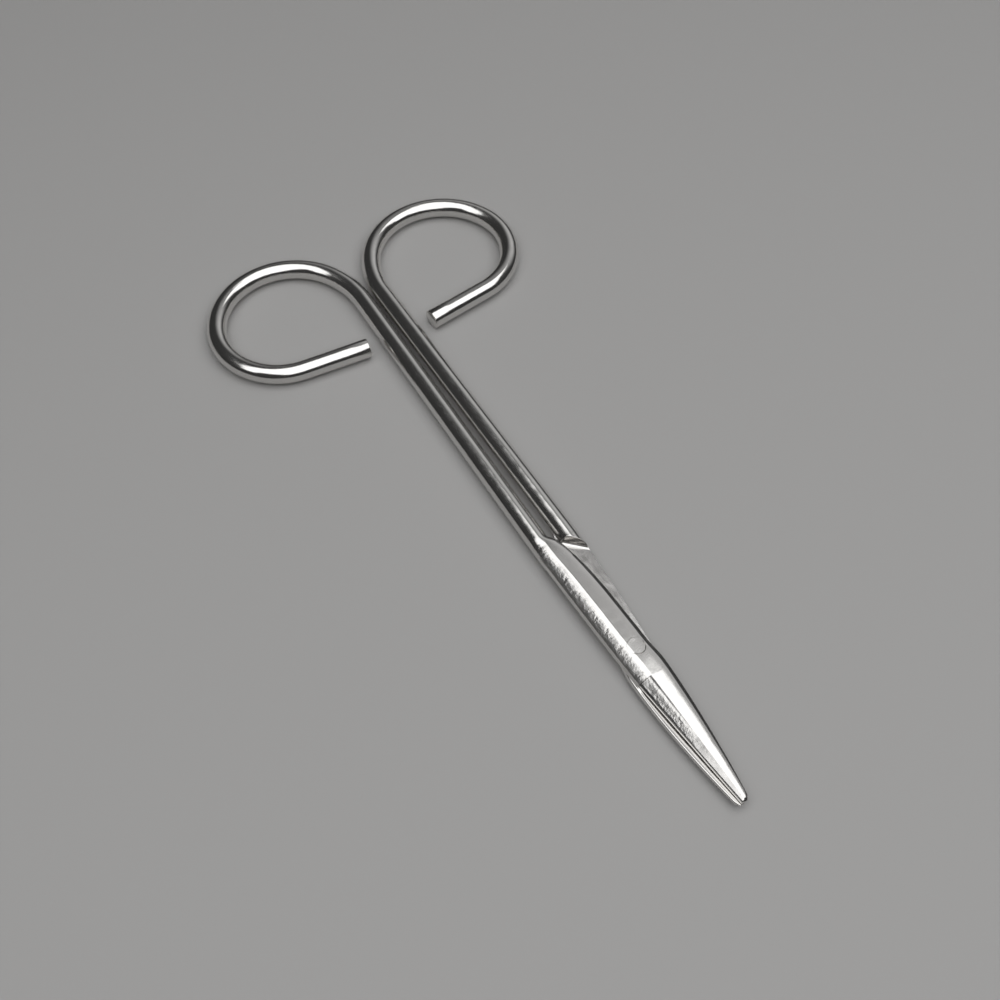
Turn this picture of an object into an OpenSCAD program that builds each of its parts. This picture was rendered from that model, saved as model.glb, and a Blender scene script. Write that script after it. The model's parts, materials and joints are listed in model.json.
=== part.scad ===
// Surgical scissors bent from round steel rod: two halves and one flush rivet.
// Each half is one rod: an open finger loop, a straight shank and a forged half-round blade.
// The halves are alike, but for the sideways set that both blades have together when closed.
// X runs to the blade tips, Y across the loops, Z up from the surface they lie on.

/* [Rod] */
// Diameter of the round rod
rod_d = 4; // [3.4:0.1:4.6]

/* [Shanks] */
// Distance from the rivet back to where the loop starts to bend
shank_len = 96.6; // [80:0.2:115]
// Gap between the two shanks at the lap joint
lap_gap = 1.4; // [1.2:0.1:2]
// Gap between the two shanks where the loops begin
loop_gap = 0.44; // [0.3:0.02:1]

/* [Finger loops] */
// Bend radius where the shank turns outwards
flare_r = 20; // [17:0.5:24]
// Angle turned by that first bend
flare_turn = 29; // [25:1:33]
// Bend radius of the far end of the loop
loop_r = 15; // [13.5:0.5:17]
// Angle turned by the far end of the loop
loop_turn = 129; // [122:1:134]
// Bend radius of the outer side of the loop
curl_r = 13.3; // [12:0.1:14.5]
// Angle turned by the outer side of the loop
curl_turn = 106; // [100:1:110]
// Length of the straight tail that closes the loop
tail_len = 13.7; // [10:0.1:15]
// Chamfer round the square-cut end of the tail
tail_chamfer = 0.2; // [0:0.05:0.5]

/* [Lap joint] */
// Distance behind the rivet where the round rod starts to be forged
forge_start = 28; // [26.5:0.5:32]
// Distance behind the rivet of the inner end of the slanted shoulder
lap_start = 25.2; // [23:0.2:26]
// Angle of that shoulder to the long axis
lap_slant = 46; // [40:1:55]
// Fillet radius at the foot of that shoulder
lap_fillet = 0.6; // [0.2:0.05:0.8]
// Gap between the heel of each forging and the other half's rod
heel_gap = 0.12; // [0.08:0.01:0.3]
// Gap between the flat inner faces of the two halves
face_gap = 0.04; // [0.02:0.01:0.1]

/* [Blades] */
// Distance from the rivet to the tips
blade_len = 32.4; // [28:0.2:40]
// Distance from the rivet to the widest place of the blade
widest_x = 4.6; // [3.6:0.1:8]
// Distance of the back from the long axis at the widest place
back_w = 3.72; // [3.4:0.02:4]
// Distance of the back from the long axis beside the rivet
rivet_w = 3.24; // [3:0.02:3.4]
// Distance of the back from the long axis just before the tip
tip_w = 1.25; // [0.8:0.05:1.5]
// Distance of the unground cutting side from the long axis at the tip
blank_w = 1.1; // [0.9:0.05:1.3]
// Height of the crest above the flat inner face at the tip
tip_h = 0.95; // [0.8:0.05:1.6]
// Length of the rounding at the blunt tip
tip_round = 1.3; // [1:0.1:2.5]
// Place of the crest across the section, from the cutting side to the back
crest_share = 0.42; // [0.36:0.01:0.5]
// Slope of the outer face from the crest down to the back, in degrees
back_lean = 8; // [3:1:12]
// How far the back draws in again at the flat inner face
back_tuck = 0.3; // [0.1:0.05:0.4]
// Sideways set of the two closed blades, towards the side of the upper half's loop
blade_set = 0.7; // [0:0.02:0.8]

/* [Cutting edges] */
// Distance from the rivet to the step where the grinding starts
grind_start = 6.1; // [5:0.1:9]
// Distance of the cutting edge from the long axis at that step
edge_w = 2.85; // [2.7:0.05:3.1]
// Distance of the cutting edge from the long axis at the tip
edge_tip_w = 0.4; // [0:0.05:0.5]
// Height of the steep land above the edge at the step
land_h = 0.4; // [0.3:0.05:0.6]
// Height of the steep land above the edge at the tip
land_tip_h = 0.55; // [0.4:0.05:0.7]
// Angle of the steep land to the flat inner face
land_angle = 64; // [55:1:75]
// Angle of the ground bevel to the flat inner face
bevel_angle = 36; // [30:1:40]

/* [Rivet] */
// Diameter of the rivet's shank
pin_d = 2.4; // [2:0.1:2.8]
// Diameter of its flush heads
head_d = 3.5; // [3.2:0.05:3.8]
// Depth of the straight rim of each head below the crest
head_rim = 0.5; // [0.3:0.05:0.7]
// Radial clearance of the rivet in each half
pin_clear = 0.03; // [0.02:0.01:0.08]

/* [Hidden] */

$fn = 40;
rod_r = rod_d / 2;
steel = [0.78, 0.76, 0.72];
bright_steel = [0.84, 0.83, 0.80];

// The shank's centreline, from the lap joint back to the loop
lap_y = -(rod_d + lap_gap) / 2;
loop_y = -(rod_d + loop_gap) / 2;
shank_back = [-shank_len, loop_y];
shank_front = [-forge_start, lap_y];
shank_run = shank_back - shank_front;
shank_dir = atan2(shank_run.y, shank_run.x);

// The loop's three bends, each turning left on the way from the shank to the tail
function left_of(dir) = [-sin(dir), cos(dir)];
function bend_centre(from, dir, r) = from + r * left_of(dir);
function bend_end(from, dir, r, turn) = bend_centre(from, dir, r) - r * left_of(dir + turn);
loop_start = bend_end(shank_back, shank_dir, flare_r, flare_turn);
loop_dir = shank_dir + flare_turn;
curl_start = bend_end(loop_start, loop_dir, loop_r, loop_turn);
curl_dir = loop_dir + loop_turn;
tail_start = bend_end(curl_start, curl_dir, curl_r, curl_turn);
tail_dir = curl_dir + curl_turn;

// The rivet's place: the origin is under the middle of the closed scissors
rear_x = bend_centre(loop_start, loop_dir, loop_r).x - loop_r - rod_r;
pivot_x = -(rear_x + blade_len) / 2;

// The forged part, in plan: its cutting side, its back and its crest along X
near_start = lap_y - rod_r;
heel_w = lap_gap / 2 - heel_gap;
near_power = 1.55;
back_front_power = 1.75;
rear_slope = 0.05;
heel_power = 5;
height_power = 1.1;
set_end = 20;
function share(x, from, to) = min(1, max(0, (x - from) / (to - from)));
function ease(t) = (1 - cos(180 * t)) / 2;
function mix(a, b, t) = a + (b - a) * t;
function near_side(x) =
    mix(near_start, -blank_w, pow(share(x, -forge_start, blade_len), near_power));
function back_ahead(x) =
    mix(back_w, tip_w, pow(share(x, widest_x, blade_len), back_front_power));
function back_behind(x) =
    mix(rivet_w + rear_slope * min(x, 0), heel_w, pow(share(x, 0, -lap_start), heel_power))
    + (back_w - rivet_w) * ease(share(x, -1, widest_x));
function heel(x) =
    mix(lap_y + rod_r, heel_w, ease(share(x, -forge_start, -lap_start)));
function back_side(x) =
    x > widest_x ? back_ahead(x) : x > -lap_start ? back_behind(x) : heel(x);
function crest_h(x) =
    mix(rod_r, tip_h, pow(share(x, grind_start, blade_len), height_power));
function set_at(x) = blade_set * ease(share(x, -forge_start, set_end));

// The section's shape: round at the rod, a low loaf with a steep back once it is forged
forged_end = -lap_start + rod_d;
near_full = 1.5;
back_full = 5;
function forged(x) = ease(share(x, -forge_start, forged_end));
function crest_side(x) =
    mix(near_side(x), back_side(x), mix(0.5, crest_share, forged(x)));
function lean(x) = tan(back_lean) * forged(x);

// The tip's rounding draws each section in towards the middle of the ground tip
tip_from = blade_len - tip_round;
tip_mid = (tip_w - edge_tip_w) / 2;
tip_blunt = 0.92;
function tip_scale(x) =
    sqrt(1 - pow(tip_blunt * share(x, tip_from, blade_len), 2));
function near_point(x, t) =
    let (power = 2 / mix(2, near_full, forged(x)))
    [
        mix(crest_side(x), near_side(x), pow(cos(t), power)),
        crest_h(x) * pow(sin(t), power)
    ];
function tuck(x, z) = back_tuck * forged(x) * pow(max(0, 1 - 2 * z / rod_r), 2);
function back_point(x, t) =
    let (power = 2 / mix(2, back_full, forged(x)))
    let (across = pow(-cos(t), power))
    let (span = back_side(x) - crest_side(x))
    let (z = (crest_h(x) - lean(x) * span * across) * pow(sin(t), power))
    [crest_side(x) + span * across - tuck(x, z), z];
function under_point(t) = [lap_y - rod_r * cos(t), rod_r * sin(t)];
function forged_point(x, t, side) =
    let (p = t < 90 ? near_point(x, t) : t > 180 ? under_point(t) : back_point(x, t))
    let (s = tip_scale(x))
    [x, tip_mid + (p.x - tip_mid) * s - side * set_at(x), p.y * s];

// Angles round a section, from its outer side over the top to the inner side and back below
top_step = 9;
under_step = 15;
under_first = 3;
section_angles = concat(
    [for (t = [0 : top_step : 180]) t],
    [180 + under_first],
    [for (t = [180 + under_step : under_step : 360 - under_step]) t]);
function forged_section(x, side) = [for (t = section_angles) forged_point(x, t, side)];
function round_section(at, dir, r) =
    [for (t = section_angles)
        let (side = at + left_of(dir) * r * cos(t))
        [side.x, side.y, r * sin(t)]];

// Sections of the forging, closer together round the tip: side 1 is the upper half, -1 the lower
station_step = 1.25;
tip_steps = 6;
function stations(from, to) =
    let (n = ceil((to - from) / station_step))
    [for (i = [0 : n]) mix(from, to, i / n)];
tip_stations =
    [for (i = [tip_steps : -1 : 1]) tip_from + tip_round * sin(90 * i / tip_steps)];
function forging(side) = [
    for (x = tip_stations) forged_section(x, side),
    for (x = stations(-tip_from, forge_start)) forged_section(-x, side)
];

// Sections of the round rod, from the shank round the loop to the square-cut tail
bend_step = 7;
function bend_sections(from, dir, r, turn) =
    let (n = ceil(turn / bend_step))
    [for (i = [1 : n]) round_section(bend_end(from, dir, r, turn * i / n), dir + turn * i / n, rod_r)];
function along_tail(s) = tail_start - s * left_of(tail_dir + 90);
round_rod = [
    round_section(shank_back, shank_dir, rod_r),
    each bend_sections(shank_back, shank_dir, flare_r, flare_turn),
    each bend_sections(loop_start, loop_dir, loop_r, loop_turn),
    each bend_sections(curl_start, curl_dir, curl_r, curl_turn),
    round_section(along_tail(tail_len - tail_chamfer), tail_dir, rod_r),
    round_section(along_tail(tail_len), tail_dir, rod_r - tail_chamfer)
];

// A closed bar through sections that all have the same number of points
module bar(sections) {
    n = len(sections[0]);
    last = (len(sections) - 1) * n;
    points = [for (s = sections) each s];
    sides = [for (i = [0 : len(sections) - 2], j = [0 : n - 1])
        let (a = i * n + j)
        let (b = i * n + (j + 1) % n)
        each [[a, b + n, b], [a, a + n, b + n]]];
    ends = [
        [for (j = [0 : n - 1]) j],
        [for (j = [n - 1 : -1 : 0]) last + j]
    ];
    polyhedron(points, concat(sides, ends));
}

// What is milled away below the flat inner face, back to the slanted shoulder and its fillet
fillet_step = 18;
function lap_plan(back, z) =
    let (side = -(heel_w + heel_gap / 2))
    let (outer = 2 * near_start)
    let (wall_x = -lap_start - back / sin(lap_slant))
    [
        [-forge_start - rod_r, side, z],
        [wall_x, side, z],
        [wall_x + (side - outer) / tan(lap_slant), outer, z],
        [2 * blade_len, outer, z],
        [2 * blade_len, -outer, z],
        [-forge_start - rod_r, -outer, z]
    ];
module lap_cut() {
    face = face_gap / 2;
    bar([
        lap_plan(lap_fillet, -rod_d),
        for (a = [90 : -fillet_step : 0])
            lap_plan(lap_fillet * sin(a), face - lap_fillet * (1 - cos(a)))
    ]);
}

// The two ground faces of the cutting edge
edge_run = blade_len - grind_start;
function bevel_foot(land) = land * (1 - tan(bevel_angle) / tan(land_angle));
bevel_from = bevel_foot(land_h);
bevel_rise = atan2(bevel_foot(land_tip_h) - bevel_from, edge_run);
function edge_from(side) = -edge_w - side * set_at(grind_start);
function edge_to(side) = -edge_tip_w - side * set_at(blade_len);
module grind(side, height, rise, angle) {
    turn = atan2(edge_to(side) - edge_from(side), edge_run);
    translate([grind_start, edge_from(side), height])
        rotate([angle, -rise, turn])
            translate([-edge_run, -rod_d, 0])
                cube([3 * edge_run, 3 * rod_d, 2 * rod_d]);
}

module edge_cut(side) {
    intersection() {
        union() {
            grind(side, bevel_from, bevel_rise, bevel_angle);
            grind(side, 0, 0, land_angle);
        }
        translate([grind_start, -2 * rod_d, -rod_d])
            cube([2 * edge_run, 4 * rod_d, 2 * rod_d]);
    }
}

// The rivet before its heads are dressed flush, or its hole with a clearance
module rivet_blank(clear) {
    head_r = head_d / 2 + clear;
    pin_r = pin_d / 2 + clear;
    cone_h = head_r - pin_r;
    rim_z = rod_r - head_rim;
    cylinder(r = pin_r, h = 2 * rod_d, center = true);
    for (side = [0, 180])
        rotate([side, 0, 0]) {
            translate([0, 0, rim_z - cone_h - clear])
                cylinder(r1 = pin_r, r2 = head_r, h = cone_h);
            translate([0, 0, rim_z - clear])
                cylinder(r = head_r, h = rod_d);
        }
}

// One half in the closed scissors, its flat inner face down
module half(side) {
    difference() {
        bar(concat(forging(side), round_rod));
        lap_cut();
        edge_cut(side);
        rivet_blank(pin_clear);
    }
}

module place() {
    translate([pivot_x, 0, rod_r])
        children();
}

module upper_half() {
    color(steel)
        place()
            half(1);
}

module lower_half() {
    color(steel)
        place()
            rotate([180, 0, 0])
                half(-1);
}

// The rivet fills both bores, its two heads dressed flush with the forgings
module rivet() {
    color(bright_steel)
        place()
            intersection() {
                rivet_blank(0);
                for (side = [1, -1])
                    rotate([90 - 90 * side, 0, 0])
                        bar([for (x = stations(-head_d, head_d)) forged_section(-x, side)]);
            }
}

upper_half();
lower_half();
rivet();
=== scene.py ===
import json
import math

import bmesh
import bpy
import numpy as np
from mathutils import Matrix, Vector, noise


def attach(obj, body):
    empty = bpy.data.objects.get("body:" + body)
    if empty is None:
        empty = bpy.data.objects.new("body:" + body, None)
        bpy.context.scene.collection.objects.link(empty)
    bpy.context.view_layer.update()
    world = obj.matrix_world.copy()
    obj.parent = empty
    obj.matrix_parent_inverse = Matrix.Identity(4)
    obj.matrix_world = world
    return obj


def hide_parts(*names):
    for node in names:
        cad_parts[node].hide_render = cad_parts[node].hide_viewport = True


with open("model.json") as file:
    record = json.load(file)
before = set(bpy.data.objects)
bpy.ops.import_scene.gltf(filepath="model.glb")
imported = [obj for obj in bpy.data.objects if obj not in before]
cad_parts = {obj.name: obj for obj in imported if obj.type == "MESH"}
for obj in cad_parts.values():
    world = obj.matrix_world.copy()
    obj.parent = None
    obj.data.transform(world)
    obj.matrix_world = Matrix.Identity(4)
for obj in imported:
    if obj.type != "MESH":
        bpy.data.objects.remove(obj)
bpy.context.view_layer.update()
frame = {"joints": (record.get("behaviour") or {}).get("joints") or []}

# Camera. It looks down on the closed scissors from beyond the blades, on the upper half's side,
# as the photograph does.
camera = bpy.data.objects.new("camera", bpy.data.cameras.new("camera"))
camera.location = (0.1297, -0.0805, 0.2188)
camera.data.lens = 50.6
camera.data.sensor_width = 36
camera.data.clip_start = 0.01
aim = Vector((0.0013, -0.0031, 0)) - camera.location
camera.rotation_euler = aim.to_track_quat("-Z", "Y").to_euler()
bpy.context.scene.collection.objects.link(camera)
bpy.context.scene.camera = camera


# Upper half. One round steel rod of 4 mm: the back end is bent cold into an open finger loop, the
# front is forged into a slim half-round blade, milled flat inside up to a slanted shoulder, ground
# along its cutting edge and then nickel plated all over.
MM = 0.001  # the scissors' own sizes are in millimetres
rod_r = 2.0
shank_len = 96.6
lap_gap = 1.4
loop_gap = 0.44
forge_start = 28.0
lap_start = 25.2
lap_slant = math.radians(46)
lap_fillet = 0.6
heel_gap = 0.12
face_z = 0.02
blade_len = 32.4
swell_start, widest_x = -1, 4.6
back_w, rivet_w, tip_w = 3.72, 3.24, 1.25
near_tip_w, edge_tip_w = 1.1, 0.4
tip_h = 0.95
near_taper, back_taper, heel_taper, crest_taper = 1.55, 1.75, 5, 1.1
body_taper = 0.05
blade_set, set_end = 0.7, 20
grind_start = 6.1
edge_w = 2.85
tip_from = blade_len - 1.3
tip_mid = (tip_w - edge_tip_w) / 2
tip_blunt = 0.92
lap_y = -rod_r - lap_gap / 2
heel_w = lap_gap / 2 - heel_gap
near_start = lap_y - rod_r
inner_side = lap_y + rod_r


def share(x, start, end):
    return min(1.0, max(0.0, (x - start) / (end - start)))


def ease(t):
    return (1 - math.cos(math.pi * t)) / 2


def mix(a, b, t):
    return a + (b - a) * t


def near_side(x):
    return mix(near_start, -near_tip_w, share(x, -forge_start, blade_len) ** near_taper)


def back_side(x):
    if x > widest_x:
        return mix(back_w, tip_w, share(x, widest_x, blade_len) ** back_taper)
    if x > -lap_start:
        behind = mix(rivet_w + body_taper * min(x, 0), heel_w, share(x, 0, -lap_start) ** heel_taper)
        return behind + (back_w - rivet_w) * ease(share(x, swell_start, widest_x))
    return mix(inner_side, heel_w, ease(share(x, -forge_start, -lap_start)))


def set_at(x):
    """The blades' set towards the side of the upper half's loop."""
    return blade_set * ease(share(x, -forge_start, set_end))


# The section's fullness ahead of its crest and behind it, where 2 is round
near_power, back_power = 1.5, 5
forged_x = 4 - lap_start
near_round_x, near_forged_x = -26.5, -20.5
crest_share = 0.42
back_lean = math.tan(math.radians(8))
back_tuck = 0.3
slope_from, rear_slope = 0.78, math.radians(32)
line_points = 721


def outer_line(x, side):
    """The forging's outer surface across X, from the cutting side over the crest to the back."""
    forged = ease(share(x, -forge_start, forged_x))
    near_forged = ease(share(x, near_round_x, near_forged_x))
    near, back = near_side(x), back_side(x)
    crest_y = mix(near, back, mix(0.5, crest_share, forged))
    crest_z = mix(rod_r, tip_h, share(x, grind_start, blade_len) ** crest_taper)
    angle = np.radians(np.linspace(0, 180, line_points))
    ahead = angle <= math.pi / 2
    power = 2 / np.where(ahead, mix(2, near_power, near_forged), mix(2, back_power, forged))
    across = np.abs(np.cos(angle)) ** power * (np.where(ahead, near, back) - crest_y)
    lean = np.where(ahead, 0, back_lean * forged * across)
    height = (crest_z - lean) * np.abs(np.sin(angle)) ** power
    # Behind the crest the surface ends in a straight slope down to a sharp rim
    half_w = back - crest_y
    slope_z = crest_z - back_lean * slope_from * half_w
    slope_z *= (1 - slope_from ** back_power) ** (1 / back_power)
    slope = slope_z + (slope_from * half_w - across) * math.tan(rear_slope) + 2 * rod_r * (1 - forged)
    height = np.where(ahead, height, np.minimum(height, slope))
    tuck = np.where(ahead, 0, back_tuck * forged * np.maximum(0, 1 - 2 * height / rod_r) ** 2)
    scale = math.sqrt(1 - (tip_blunt * share(x, tip_from, blade_len)) ** 2)
    y = tip_mid + (crest_y + across - tuck - tip_mid) * scale - side * set_at(x)
    return np.column_stack([y, height * scale])


# The two faces ground on the cutting side: a steep land at the edge and a shallow bevel above it
land_angle, bevel_angle = math.radians(64), math.radians(36)
land_h, land_tip_h = 0.4, 0.55
bevel_foot = 1 - math.tan(bevel_angle) / math.tan(land_angle)


def ground(x, y, side, is_land):
    """Height of a ground face above the flat inner face."""
    along = (x - grind_start) / (blade_len - grind_start)
    start = -edge_w - side * set_at(grind_start)
    end = -edge_tip_w - side * set_at(blade_len)
    turn = math.atan2(end - start, blade_len - grind_start)
    from_edge = (y - mix(start, end, along)) * math.cos(turn)
    if is_land:
        return from_edge * math.tan(land_angle)
    return mix(land_h, land_tip_h, along) * bevel_foot + from_edge * math.tan(bevel_angle)


def crossing(line, above):
    """The polyline from the last place before the crest where `above` turns negative."""
    near_points = len(above) // 2 + 120
    over = np.nonzero(above[:near_points] > 0)[0]
    if len(over) == 0:
        return line
    i = over[-1]
    t = above[i] / (above[i] - above[i + 1])
    return np.vstack([mix(line[i], line[i + 1], t), line[i + 1:]])


def lengths(line):
    return np.concatenate([[0], np.cumsum(np.hypot(*np.diff(line, axis=0).T))])


def piece_of(line, start, end, count):
    """Evenly spaced points on a polyline between two distances along it."""
    along = lengths(line)
    stops = np.linspace(start, end, count)
    return np.column_stack([np.interp(stops, along, line[:, k]) for k in (0, 1)])


def trimmed(line, low_z):
    """The part of the outer line above low_z."""
    inside = line[:, 1] > low_z
    first, last = np.nonzero(inside)[0][[0, -1]]
    parts = [line[first:last + 1]]
    if first > 0:
        t = (low_z - line[first - 1, 1]) / (line[first, 1] - line[first - 1, 1])
        parts.insert(0, [mix(line[first - 1], line[first], t)])
    if last < len(line) - 1:
        t = (low_z - line[last, 1]) / (line[last + 1, 1] - line[last, 1])
        parts.append([mix(line[last], line[last + 1], t)])
    return np.vstack(parts)


# Points on the seven runs of a section: land, bevel, crest, rear slope, inner face, wall and rod
run_counts = (6, 16, 32, 8, 16, 22, 24)
corner_count = 4
most_rounded = 0.4
land_share, bevel_share = 0.10, 0.34
edge_round, knee_round, bevel_round, rim_round = 0.03, 0.04, 0.12, 0.04
flank_round, back_round, wall_round = 0.12, 0.16, 0.1
rim_turn = math.radians(55)
hollow_from, hollow_to = 4, 9
hollow_slope = math.tan(math.radians(20))
wall_lean = math.radians(13)
below_rod = 0.5


def section(runs, radii):
    """One closed section of the half: runs from corner to corner, with every corner rounded."""
    cut = []
    for i, line in enumerate(runs):
        total = lengths(line)[-1]
        start = min(radii[i], most_rounded * total)
        end = total - min(radii[(i + 1) % len(runs)], most_rounded * total)
        cut.append(piece_of(line, start, end, run_counts[i]))
    points = []
    for i, part in enumerate(cut):
        points.append(part)
        corner, after = runs[i][-1], cut[(i + 1) % len(cut)][0]
        for k in range(1, corner_count + 1):
            t = k / (corner_count + 1)
            bend = (1 - t) ** 2 * part[-1] + 2 * t * (1 - t) * corner + t * t * after
            points.append(bend[None])
    return np.vstack(points)


def inner_face(x, back, edge):
    """The inner face across: flat where the halves ride on each other, hollow ground ahead."""
    t = np.linspace(0, 1, 41)
    line = mix(back, edge, t[:, None])
    hollow = hollow_slope * ease(share(x, hollow_from, hollow_to))
    line[:, 1] += hollow * (back[0] - edge[0]) * t * (1 - t)
    return line


def lower_runs(x, edge, back, low):
    """The flat inner face, the shoulder's wall with its fillet, and the round rod left under it."""
    centre, half_w = (inner_side + edge[0]) / 2, (inner_side - edge[0]) / 2
    foot = -(heel_w + heel_gap / 2) - (x + lap_start) * math.tan(lap_slant)
    if foot <= edge[0]:
        no_run = np.repeat(edge[None], 2, axis=0)
        return [inner_face(x, back, edge), no_run, no_run]
    bend = np.radians(np.linspace(0, 90, 91))
    wall = np.column_stack([
        foot - lap_fillet * np.sin(bend) / math.cos(lap_slant), low - lap_fillet * (1 - np.cos(bend))])
    drop = rod_r + below_rod - lap_fillet
    wall = np.vstack([wall, wall[-1] - [drop * math.tan(wall_lean) / math.cos(lap_slant), drop]])
    wall = piece_of(wall, 0, lengths(wall)[-1], 2001)
    wall[:, 0] = np.clip(wall[:, 0], edge[0], inner_side)
    rod_z = -rod_r * np.sqrt(np.maximum(0, 1 - ((wall[:, 0] - centre) / half_w) ** 2))
    last = max(1, np.argmax(wall[:, 1] <= rod_z))
    wall = wall[:last + 1]
    turn = math.acos(min(1, max(-1, (wall[-1, 0] - centre) / half_w)))
    t = np.linspace(turn, math.pi, 121)
    under = np.column_stack([centre + half_w * np.cos(t), -rod_r * np.sin(t)])
    under[0], under[-1] = wall[-1], edge
    return [np.vstack([back, wall[0]]), wall, under]


def bulged(line, rise):
    """A straight line turned into a shallow arc, as a face that was whetted by hand."""
    t = np.linspace(0, 1, 31)[:, None]
    step = line[-1] - line[0]
    return mix(line[0], line[-1], t) + 4 * rise * t * (1 - t) * np.array([-step[1], step[0]])


whetted_rise = 0.07

# The hammered flank: its ends and its upper border, which is nearly level in the photograph's
# slanted view, with the way over which each side of it fades out
flank_start, start_fade = -27, 3
flank_end, end_fade = 21, 10
flank_top_y, flank_top_slope, top_fade = -1.1, 0.045, 0.5
land_fade = 0.2
view_slant = 0.37
flank_turn = math.radians(35)
dent_depth = 0.035
mark_way = (0.6, 0.8)
marks_along, marks_across = 1.1, 2.0


def hammered(x, y, z, side):
    """Where the flank on the cutting side was left as it came from the hammer: 1 there, 0 elsewhere."""
    seen_y = y - (1 - side) * set_at(x) + view_slant * z
    below_top = np.clip((flank_top_y + flank_top_slope * x - seen_y) / top_fade, 0, 1)
    above_land = np.clip((z - land_h) / land_fade, 0, 1)
    behind = share(x, flank_start, flank_start + start_fade)
    return below_top * above_land * behind * (1 - share(x, flank_end - end_fade, flank_end))


def hammer_mark(x, y, z):
    """Depth share of the slanted marks that the hammer and the file left."""
    along = mark_way[0] * x - mark_way[1] * (y - z)
    across = mark_way[1] * x + mark_way[0] * (y - z)
    return 0.5 + 0.5 * noise.noise(Vector((along * marks_along, across * marks_across, 3)))


def forging_section(x, side, is_ground):
    low = face_z * share(x, -forge_start, -lap_start)
    outer = trimmed(outer_line(x, side), low)
    if is_ground:
        y = outer[:, 0]
        faces = np.minimum(ground(x, y, side, True), ground(x, y, side, False))
        outer = crossing(outer, outer[:, 1] - faces)
    total = lengths(outer)[-1]
    rim = lengths(outer)[np.argmax(outer @ [math.sin(rim_turn), math.cos(rim_turn)])]
    if is_ground and outer[0, 1] > 2 * face_z:
        fine_y = np.linspace(outer[0, 0] - 6, outer[0, 0], 2401)
        land, bevel = ground(x, fine_y, side, True), ground(x, fine_y, side, False)
        top = np.minimum(land, bevel)
        knee = np.argmin(np.abs(land - bevel)[top > low])
        face = np.column_stack([fine_y, top])[top > low]
        whetted = bulged(face[:knee + 1], whetted_rise)
        runs = [whetted, face[knee:], piece_of(outer, 0, rim, 400), piece_of(outer, rim, total, 100)]
        radii = [edge_round, knee_round, bevel_round, rim_round]
    else:
        marks = [0, land_share * total, bevel_share * total, rim, total]
        runs = [piece_of(outer, a, b, 200) for a, b in zip(marks, marks[1:])]
        radii = [flank_round * share(x, -lap_start + 3, -lap_start + 4), 0, 0, rim_round]
    edge, back = runs[0][0], runs[3][-1]
    runs += lower_runs(x, edge, back, low)
    lap = share(x, -lap_start - 1, -lap_start)
    radii += [back_round * lap, 0, wall_round * lap]
    points = section(runs, radii)
    y, z = points[:, 0], points[:, 1]
    dent = hammered(x, y, z, side) * dent_depth * np.array([hammer_mark(x, *at) for at in points])
    return points + np.column_stack([dent * math.sin(flank_turn), -dent * math.cos(flank_turn)])


# Radius and angle of the three bends of a finger loop, then how far along its tail each of the last
# sections stands and how large it is
loop_bends = ((20, 29), (15, 129), (13.3, 106))
tail_sections = ((4.5, 1), (9, 1), (13.5, 1), (13.58, 0.985), (13.65, 0.955), (13.7, 0.9))


def left_of(turn):
    return np.array([-math.sin(turn), math.cos(turn)])


def half_rings(side):
    """Every section of one half, from the blade's tip to the end of the finger loop's tail."""
    rings = []
    ahead = tip_from + (blade_len - tip_from) * np.sin(np.radians(np.linspace(90, 0, 13)))
    for x in [*ahead, *np.linspace(tip_from, grind_start, 90)[1:]]:
        rings.append(((x, 0), math.pi, forging_section(x, side, True)))
    behind = [
        *np.linspace(grind_start - 0.01, -lap_start + 4.2, 120),
        *np.linspace(-lap_start + 4.2, -lap_start - 1, 80)[1:],
        *np.linspace(-lap_start - 1, -forge_start, 24)[1:],
    ]
    for x in behind:
        rings.append(((x, 0), math.pi, forging_section(x, side, False)))
    profile = rings[-1][2] - [lap_y, 0]

    at = np.array([-forge_start, lap_y])
    back = np.array([-shank_len, -rod_r - loop_gap / 2])
    turn = math.atan2(*(back - at)[::-1])
    for s in np.linspace(0, 1, 60)[1:]:
        rings.append((mix(at, back, s), turn, profile))
    at = back
    for radius, angle in loop_bends:
        centre = at + radius * left_of(turn)
        count = math.ceil(angle / 2.5)
        for k in range(1, count + 1):
            bend = turn + math.radians(angle) * k / count
            rings.append((centre - radius * left_of(bend), bend, profile))
        turn += math.radians(angle)
        at = rings[-1][0]
    tail = np.array([math.cos(turn), math.sin(turn)])
    for s, scale in tail_sections:
        rings.append((at + s * tail, turn, profile * scale))
    return rings


def to_space(rings):
    """The sections' points in space, with the flat inner face down and the rivet at the origin."""
    rows = []
    for at, turn, points in rings:
        side = -left_of(turn)
        flat = np.asarray(at) + points[:, :1] * side
        rows.append(np.column_stack([flat, points[:, 1]]))
    return np.array(rows)


pivot = np.array(frame["joints"][0]["pos_m"])
merge_gap, flat_gap = 0.001, 0.0005
crease_angle = math.radians(32)


def make_mesh(name, points, faces):
    mesh = bpy.data.meshes.new(name)
    mesh.from_pydata(points.tolist(), [], faces)
    return mesh


def bar_faces(rows, columns):
    faces = []
    for i in range(rows - 1):
        for j in range(columns):
            k = (j + 1) % columns
            faces.append((i * columns + j, i * columns + k, (i + 1) * columns + k, (i + 1) * columns + j))
    faces.append(tuple(range(columns))[::-1])
    faces.append(tuple(range((rows - 1) * columns, rows * columns)))
    return faces


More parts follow.
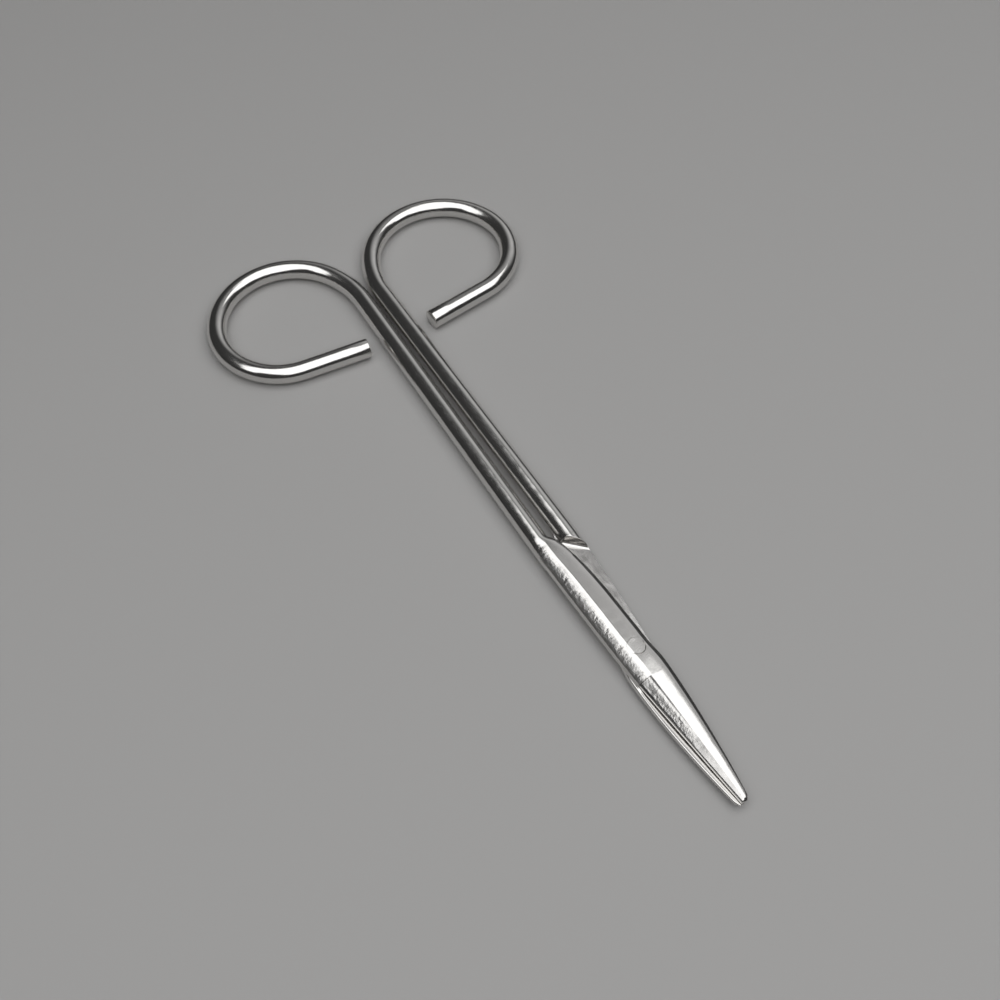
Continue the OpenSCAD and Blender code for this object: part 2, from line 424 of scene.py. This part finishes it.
def merged(mesh):
    """Merges the points that fall together, drops loose flaps and turns every face outwards."""
    work = bmesh.new()
    work.from_mesh(mesh)
    bmesh.ops.remove_doubles(work, verts=work.verts, dist=merge_gap * MM)
    bmesh.ops.triangulate(work, faces=[face for face in work.faces if len(face.verts) > 4])
    bmesh.ops.dissolve_degenerate(work, edges=work.edges, dist=flat_gap * MM)
    flaps = [face for face in work.faces if any(len(edge.link_faces) == 1 for edge in face.edges)]
    bmesh.ops.delete(work, geom=flaps, context="FACES")
    bmesh.ops.recalc_face_normals(work, faces=work.faces)
    work.to_mesh(mesh)
    work.free()


def add_half(name, side):
    """One half: side 1 is the upper one and -1 the lower one, turned over."""
    rows = to_space(half_rings(side))
    points = rows.reshape(-1, 3) * MM * [1, side, side]
    mesh = make_mesh(name, points + pivot, bar_faces(*rows.shape[:2]))
    merged(mesh)
    piece = bpy.data.objects.new(name, mesh)
    bpy.context.scene.collection.objects.link(piece)
    bore(piece)
    smooth(piece.data)
    mark_flank(piece.data, side)
    piece.data.materials.clear()
    piece.data.materials.append(nickel)
    return piece


def mark_flank(mesh, side):
    """Stores where the hammered flank lies, for the plating's material."""
    points = np.array([v.co for v in mesh.vertices]) - pivot
    x, y, z = (points / MM * [1, side, side]).T
    on_forging = (x > flank_start) & (x < flank_end)
    marks = [float(hammered(*at, side)) if on else 0.0 for *at, on in zip(x, y, z, on_forging)]
    mesh.attributes.new("hammered", "FLOAT", "POINT").data.foreach_set("value", marks)


def bore(piece):
    """Drills the rivet's countersunk hole through a piece."""
    cutter = bpy.data.objects.new("drill", rivet_mesh(bore_clear, False))
    bpy.context.scene.collection.objects.link(cutter)
    cut = piece.modifiers.new("bore", "BOOLEAN")
    cut.operation = "DIFFERENCE"
    cut.solver = "EXACT"
    cut.object = cutter
    bpy.context.view_layer.update()
    drilled = bpy.data.meshes.new_from_object(piece.evaluated_get(bpy.context.evaluated_depsgraph_get()))
    piece.modifiers.clear()
    merged(drilled)
    piece.data = drilled
    bpy.data.objects.remove(cutter)


def smooth(mesh):
    mesh.polygons.foreach_set("use_smooth", [True] * len(mesh.polygons))
    mesh.set_sharp_from_angle(angle=crease_angle)


def skin(x, y, side):
    line = outer_line(x, side)
    return float(np.interp(y, line[:, 0], line[:, 1]))


# The rivet, which both bores are cut to fit
head_r, pin_r = 1.75, 1.2
head_rim = 0.5
bore_clear = 0.012
seam_h, groove_h, groove_turn = 0.015, 0.2, 0.3


def dressed_z(x, y, side, at_rim):
    """Height of the rivet's dressed head, with the groove round its rim, deepest towards the tips."""
    if not at_rim:
        return skin(x, side * y, side)
    groove = seam_h + groove_h * max(0, x + groove_turn * side * y) / math.hypot(x, y)
    return skin(x, side * y, side) - groove


def head_reach(turn, side):
    """How far out the dressed head reaches before the countersink's slope cuts it off."""
    for r in np.linspace(head_r, pin_r, 81):
        height = dressed_z(r * math.cos(turn), r * math.sin(turn), side, True)
        if height >= rod_r - head_rim - (head_r - r):
            return r
    return pin_r


def rivet_mesh(clear, dressed):
    """The rivet, turned about the pivot: its heads dressed flush with both forgings, or left long."""
    around = np.radians(np.linspace(0, 360, 65)[:-1])
    unit = np.column_stack([np.cos(around), np.sin(around)])
    rim_z = rod_r - head_rim - clear
    ends = []
    for side in (1, -1):
        reach = np.array([head_reach(a, side) if dressed else head_r + clear for a in around])
        rings = []
        for s in (*np.linspace(0.1, 0.92, 12), 1) if dressed else (1,):
            flat = unit * reach[:, None] * s
            height = [dressed_z(*at, side, s == 1) if dressed else 2 * rod_r for at in flat]
            rings.append(np.column_stack([flat, height]))
        rings.append(np.column_stack([unit * reach[:, None], rim_z - (head_r + clear - reach)]))
        flat = unit * (pin_r + clear)
        rings.append(np.column_stack([flat, np.full(len(around), rim_z - (head_r - pin_r))]))
        ends.append(np.array(rings) * [1, 1, side])
    points = np.vstack([ends[0], ends[1][::-1]])
    mesh = make_mesh("rivet", points.reshape(-1, 3) * MM + pivot, bar_faces(*points.shape[:2]))
    merged(mesh)
    return mesh


class Value:
    """A shader socket that takes part in plain arithmetic."""

    def __init__(self, nodes, socket):
        self.nodes, self.socket = nodes, socket

    def math(self, operation, other):
        return self.nodes.add("ShaderNodeMath", {"operation": operation}, {0: self, 1: other})

    def __add__(self, other):
        return self.math("ADD", other)

    def __radd__(self, other):
        return self.math("ADD", other)

    def __mul__(self, other):
        return self.math("MULTIPLY", other)

    def __rmul__(self, other):
        return self.math("MULTIPLY", other)


class Nodes:
    """The node tree of one material."""

    def __init__(self, tree):
        self.tree = tree
        tree.nodes.clear()

    def add(self, kind, settings=None, values=None, out=0):
        node = self.tree.nodes.new(kind)
        for name, value in (settings or {}).items():
            setattr(node, name, value)
        for name, value in (values or {}).items():
            if isinstance(value, Value):
                self.tree.links.new(value.socket, node.inputs[name])
            else:
                node.inputs[name].default_value = value
        return Value(self, node.outputs[out]) if node.outputs else node


def plated_steel(name, worn):
    """Bright nickel over forged steel: faintly wavy, finely mottled, and dull where it was hammered."""
    material = bpy.data.materials.new(name)
    material.use_nodes = True
    n = Nodes(material.node_tree)
    place = n.add("ShaderNodeTexCoord", out=3)
    waves = n.add("ShaderNodeTexNoise", {}, {"Vector": place, "Scale": 260.0, "Detail": 1.0})
    mottle = n.add("ShaderNodeTexNoise", {}, {"Vector": place, "Scale": 900.0, "Detail": 4.0})
    grain = n.add("ShaderNodeTexNoise", {}, {"Vector": place, "Scale": 2200.0, "Detail": 3.0})
    flank = n.add("ShaderNodeAttribute", {"attribute_name": "hammered"}, out=2)
    # 6 and 7 are the two colour inputs of this node
    colour = n.add("ShaderNodeMix", {"data_type": "RGBA"}, {
        "Factor": mottle, 6: (0.77, 0.755, 0.735, 1), 7: (0.69, 0.68, 0.665, 1)}, out=2)
    relief = 0.05 * waves + (0.006 + 0.1 * flank) * mottle
    fine_relief = (0.002 + 0.06 * flank + 0.003 * worn) * grain
    bump = n.add("ShaderNodeBump", {}, {
        "Strength": 1.0, "Distance": MM, "Height": relief + fine_relief})
    shader = n.add("ShaderNodeBsdfPrincipled", {}, {
        "Base Color": colour, "Metallic": 1.0, "Normal": bump,
        "Roughness": 0.11 + 0.1 * mottle + 0.13 * flank + 0.03 * worn})
    n.add("ShaderNodeOutputMaterial", {}, {"Surface": shader})
    return material


nickel = plated_steel("nickel_plate", 0)
upper = add_half("upper_half_forged", 1)
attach(upper, "upper")
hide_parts("upper_half")


# Lower half. The same plated steel rod, forged alike and turned over by half a turn about the long
# axis, so that its flat inner face meets the upper one's. Its forging is set 0.7 mm the other way
# from its own shank, so that both closed blades lie over each other.
lower = add_half("lower_half_forged", -1)
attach(lower, "lower")
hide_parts("lower_half")


# Rivet. A steel pin through both halves, hammered into the countersinks and ground flush, so that
# only a fine seam round the head shows.
rivet = bpy.data.objects.new("rivet_flush", rivet_mesh(0, True))
bpy.context.scene.collection.objects.link(rivet)
smooth(rivet.data)
rivet.data.materials.append(plated_steel("rivet_steel", 1))
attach(rivet, "lower")
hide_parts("rivet")


# Studio. A plain pale floor under the scissors and three soft lamps at one height, which together
# leave the slanted left edge and the stepped rear edge that the plating shows. A dim room is round
# them, brighter in one high corner behind the scissors.
floor_corners = 3 * np.array([[-1, -1, 0], [1, -1, 0], [1, 1, 0], [-1, 1, 0]])
floor_mesh = make_mesh("floor", floor_corners, [(0, 1, 2, 3)])
floor = bpy.data.objects.new("floor", floor_mesh)
bpy.context.scene.collection.objects.link(floor)
floor_paint = bpy.data.materials.new("floor_paint")
floor_paint.use_nodes = True
n = Nodes(floor_paint.node_tree)
matte = n.add("ShaderNodeBsdfPrincipled", {}, {"Base Color": (0.43, 0.425, 0.42, 1), "Roughness": 0.8})
n.add("ShaderNodeOutputMaterial", {}, {"Surface": matte})
floor.data.materials.append(floor_paint)

lamp_height = 0.6
lamp_turn = math.radians(9)
lamp_glow = 1.5
lamps = {  # left, right, near and far edge
    "overhead_lamp": (-0.30, 0.75, -0.45, 0.24),
    "rear_lamp": (-0.144, 0.60, 0.24, 0.53),
    "front_lamp": (-0.24, 0.05, -0.81, -0.45),
}
for name, (left, right, near, far) in lamps.items():
    light = bpy.data.lights.new(name, "AREA")
    light.shape = "RECTANGLE"
    light.size, light.size_y = right - left, far - near
    light.energy = lamp_glow * math.pi * light.size * light.size_y
    lamp = bpy.data.objects.new(name, light)
    middle = Vector(((left + right) / 2, (near + far) / 2))
    middle.rotate(Matrix.Rotation(lamp_turn, 2))
    lamp.location = (*middle, lamp_height)
    lamp.rotation_euler.z = lamp_turn
    bpy.context.scene.collection.objects.link(lamp)

world = bpy.data.worlds.new("studio")
bpy.context.scene.world = world
world.use_nodes = True
n = Nodes(world.node_tree)
direction = n.add("ShaderNodeTexCoord")
bright_way = (-0.48, 0.72, 0.5)
dim_glow, bright_glow = 0.035, 0.52
towards = n.add("ShaderNodeVectorMath", {"operation": "DOT_PRODUCT"}, {
    0: direction, 1: bright_way}, out=1)
room = n.add("ShaderNodeMapRange", {}, {
    "Value": towards, "From Min": 0.74, "From Max": 1.0, "To Min": 0.0, "To Max": 1.0})
upward = n.add("ShaderNodeSeparateXYZ", {}, {"Vector": direction}, out=2)
above = n.add("ShaderNodeMapRange", {}, {
    "Value": upward, "From Min": 0.2, "From Max": 0.5, "To Min": 0.0, "To Max": 1.0})
strength = dim_glow + bright_glow * room * room * above
glow = n.add("ShaderNodeBackground", {}, {"Color": (1, 1, 1, 1), "Strength": strength})
n.add("ShaderNodeOutputWorld", {}, {"Surface": glow})
bpy.context.scene.view_settings.view_transform = "Standard"
